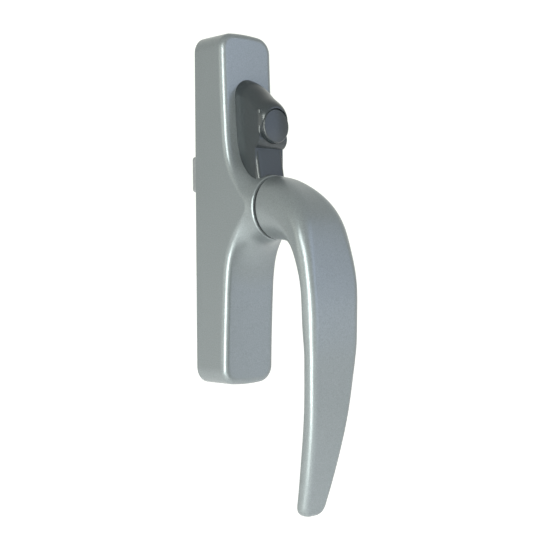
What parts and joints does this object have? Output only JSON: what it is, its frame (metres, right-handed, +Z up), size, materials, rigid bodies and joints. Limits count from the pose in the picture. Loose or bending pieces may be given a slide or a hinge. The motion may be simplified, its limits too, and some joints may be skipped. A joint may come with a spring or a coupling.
{
  "type": "tilt turn handle",
  "caption": "Surface-mounted window handle with a swan-neck blade grip, a push-button lock and a rear drive fork moved by a rack and pinion.",
  "frame": {"origin": "where the grip's turning axis meets the mounting plane, midway between the two fixing holes", "axes": "+Z up along the body, -Y towards the room (grip side), +Y towards the sash (fork side), +X to the right seen from the room"},
  "size_m": [0.0312, 0.0857, 0.211],
  "materials": {
    "coated_casting": "satin silver-grey fine-grain powder coat",
    "dark_plastic": "satin anthracite",
    "bush_plastic": "black acetal",
    "zinc_steel": "zinc plated",
    "raw_steel": "turned, oiled",
    "spring_steel": "bright drawn",
    "cast_zinc": "raw zinc casting"
  },
  "bodies": {
    "housing": {"body_casting": "coated_casting", "rear_cover": "zinc_steel", "cover_screws": "zinc_steel", "guide_strip": "bush_plastic", "neck_bush": "bush_plastic", "thrust_washer": "raw_steel", "lock_housing": "dark_plastic", "housing_screws": "zinc_steel", "detent_ball": "raw_steel", "detent_spring": "spring_steel", "button_spring": "spring_steel"},
    "handle": {"grip": "coated_casting", "grip_screw": "raw_steel", "spindle": "raw_steel", "drive_pinion": "raw_steel", "pinion_screw": "zinc_steel", "index_disc": "raw_steel"},
    "slider": {"drive_slider": "cast_zinc", "drive_fork": "cast_zinc", "fork_screws": "zinc_steel"},
    "button": {"lock_button": "dark_plastic", "lock_bolt": "raw_steel", "bolt_screw": "zinc_steel"}
  },
  "joints": [
    {"name": "handle_turn", "type": "hinge", "parent": "housing", "child": "handle", "pos_m": [0, 0, 0], "axis": [0, -1, 0], "range_deg": [0, 180]},
    {"name": "drive_slide", "type": "slide", "parent": "housing", "child": "slider", "axis": [0, 0, -1], "range_m": [0, 0.02827]},
    {"name": "lock_press", "type": "slide", "parent": "housing", "child": "button", "axis": [0, 1, 0], "range_m": [0, 0.002], "stiffness_N_per_m": 600, "springref_m": -0.002, "deforming": ["button_spring"]}
  ],
  "couplings": [
    {"joint": "drive_slide", "follows": "handle_turn", "m_per_rad": 0.009}
  ]
}
